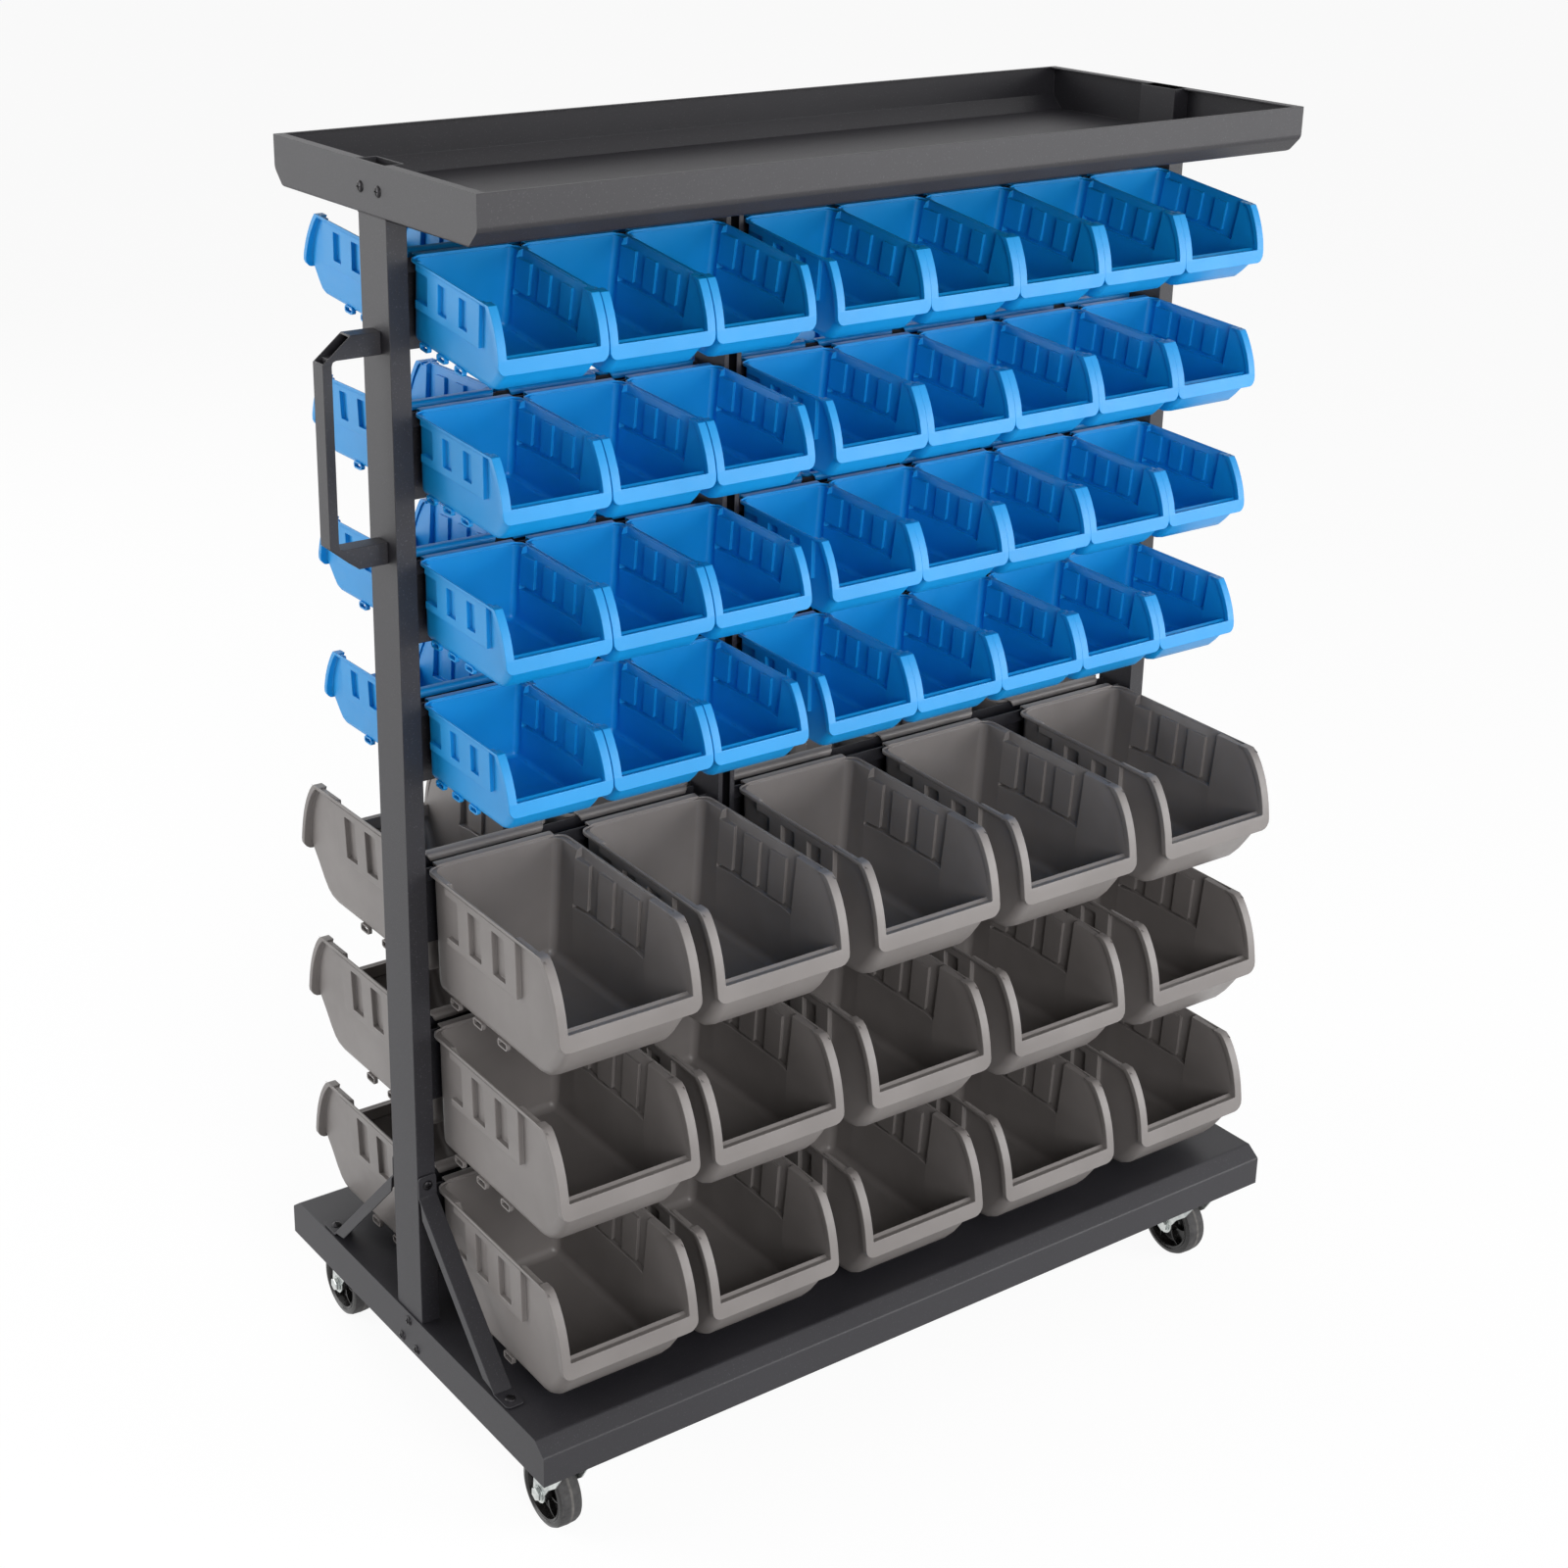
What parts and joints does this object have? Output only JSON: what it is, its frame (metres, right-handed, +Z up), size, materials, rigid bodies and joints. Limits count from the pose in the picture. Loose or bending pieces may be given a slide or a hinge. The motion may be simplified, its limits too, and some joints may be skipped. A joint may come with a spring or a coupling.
{
  "type": "mobile bin cart",
  "caption": "Two sided steel cart on swivel casters, with rows of open fronted plastic bins hung on strips, a tray on top and a side handle.",
  "frame": {"origin": "centre of the footprint on the floor: the middle of the overall box, handle and trailing wheels included, at floor height", "axes": "+X along the length, away from the handle; +Y to the back, where the pictured side is the front; +Z up"},
  "size_m": [1.0054, 0.535, 1.305],
  "materials": {
    "black_steel": "fine textured powder coat",
    "blue_plastic": "satin moulded",
    "grey_plastic": "satin moulded",
    "zinc_plate": "bright zinc plated",
    "grey_tread": "matt moulded tread"
  },
  "bodies": {
    "cart": {"base_deck": "black_steel", "top_tray": "black_steel", "post_left": "black_steel", "post_right": "black_steel", "post_centre": "black_steel", "push_handle": "black_steel", "brace_front_left": "black_steel", "brace_front_right": "black_steel", "brace_back_left": "black_steel", "brace_back_right": "black_steel", "caster_plate_front_left": "zinc_plate", "caster_plate_front_right": "zinc_plate", "caster_plate_back_left": "zinc_plate", "caster_plate_back_right": "zinc_plate", "small_row_1_front_left": "blue_plastic", "small_row_1_back_left": "blue_plastic", "small_row_1_front_right": "blue_plastic", "small_row_1_back_right": "blue_plastic", "small_row_2_front_left": "blue_plastic", "small_row_2_back_left": "blue_plastic", "small_row_2_front_right": "blue_plastic", "small_row_2_back_right": "blue_plastic", "small_row_3_front_left": "blue_plastic", "small_row_3_back_left": "blue_plastic", "small_row_3_front_right": "blue_plastic", "small_row_3_back_right": "blue_plastic", "small_row_4_front_left": "blue_plastic", "small_row_4_back_left": "blue_plastic", "small_row_4_front_right": "blue_plastic", "small_row_4_back_right": "blue_plastic", "large_row_1_front_left": "grey_plastic", "large_row_1_back_left": "grey_plastic", "large_row_1_front_right": "grey_plastic", "large_row_1_back_right": "grey_plastic", "large_row_2_front_left": "grey_plastic", "large_row_2_back_left": "grey_plastic", "large_row_2_front_right": "grey_plastic", "large_row_2_back_right": "grey_plastic", "large_row_3_front_left": "grey_plastic", "large_row_3_back_left": "grey_plastic", "large_row_3_front_right": "grey_plastic", "large_row_3_back_right": "grey_plastic"},
    "caster_front_left": {"caster_fork_front_left": "zinc_plate", "caster_axle_front_left": "zinc_plate"},
    "wheel_front_left": {"caster_wheel_front_left": "grey_tread"},
    "caster_front_right": {"caster_fork_front_right": "zinc_plate", "caster_axle_front_right": "zinc_plate"},
    "wheel_front_right": {"caster_wheel_front_right": "grey_tread"},
    "caster_back_left": {"caster_fork_back_left": "zinc_plate", "caster_axle_back_left": "zinc_plate"},
    "wheel_back_left": {"caster_wheel_back_left": "grey_tread"},
    "caster_back_right": {"caster_fork_back_right": "zinc_plate", "caster_axle_back_right": "zinc_plate"},
    "wheel_back_right": {"caster_wheel_back_right": "grey_tread"},
    "liftoff_small": {"liftoff_small_bin": "blue_plastic"},
    "liftoff_large": {"liftoff_large_bin": "grey_plastic"}
  },
  "joints": [
    {"name": "swivel_front_left", "type": "hinge", "parent": "cart", "child": "caster_front_left", "pos_m": [-0.39525, -0.22, 0.095], "axis": [0, 0, 1], "continuous": true},
    {"name": "roll_front_left", "type": "hinge", "parent": "caster_front_left", "child": "wheel_front_left", "pos_m": [-0.39525, -0.197, 0.038], "axis": [1, 0, 0], "continuous": true},
    {"name": "swivel_front_right", "type": "hinge", "parent": "cart", "child": "caster_front_right", "pos_m": [0.45075, -0.22, 0.095], "axis": [0, 0, 1], "continuous": true},
    {"name": "roll_front_right", "type": "hinge", "parent": "caster_front_right", "child": "wheel_front_right", "pos_m": [0.45075, -0.197, 0.038], "axis": [1, 0, 0], "continuous": true},
    {"name": "swivel_back_left", "type": "hinge", "parent": "cart", "child": "caster_back_left", "pos_m": [-0.39525, 0.206, 0.095], "axis": [0, 0, 1], "continuous": true},
    {"name": "roll_back_left", "type": "hinge", "parent": "caster_back_left", "child": "wheel_back_left", "pos_m": [-0.39525, 0.229, 0.038], "axis": [1, 0, 0], "continuous": true},
    {"name": "swivel_back_right", "type": "hinge", "parent": "cart", "child": "caster_back_right", "pos_m": [0.45075, 0.206, 0.095], "axis": [0, 0, 1], "continuous": true},
    {"name": "roll_back_right", "type": "hinge", "parent": "caster_back_right", "child": "wheel_back_right", "pos_m": [0.45075, 0.229, 0.038], "axis": [1, 0, 0], "continuous": true},
    {"name": "lift_small_bin", "type": "slide", "parent": "cart", "child": "liftoff_small", "axis": [0, -0.1392, 0.9903], "range_m": [0, 0.014]},
    {"name": "lift_large_bin", "type": "slide", "parent": "cart", "child": "liftoff_large", "axis": [0, 0, 1], "range_m": [0, 0.014]}
  ]
}
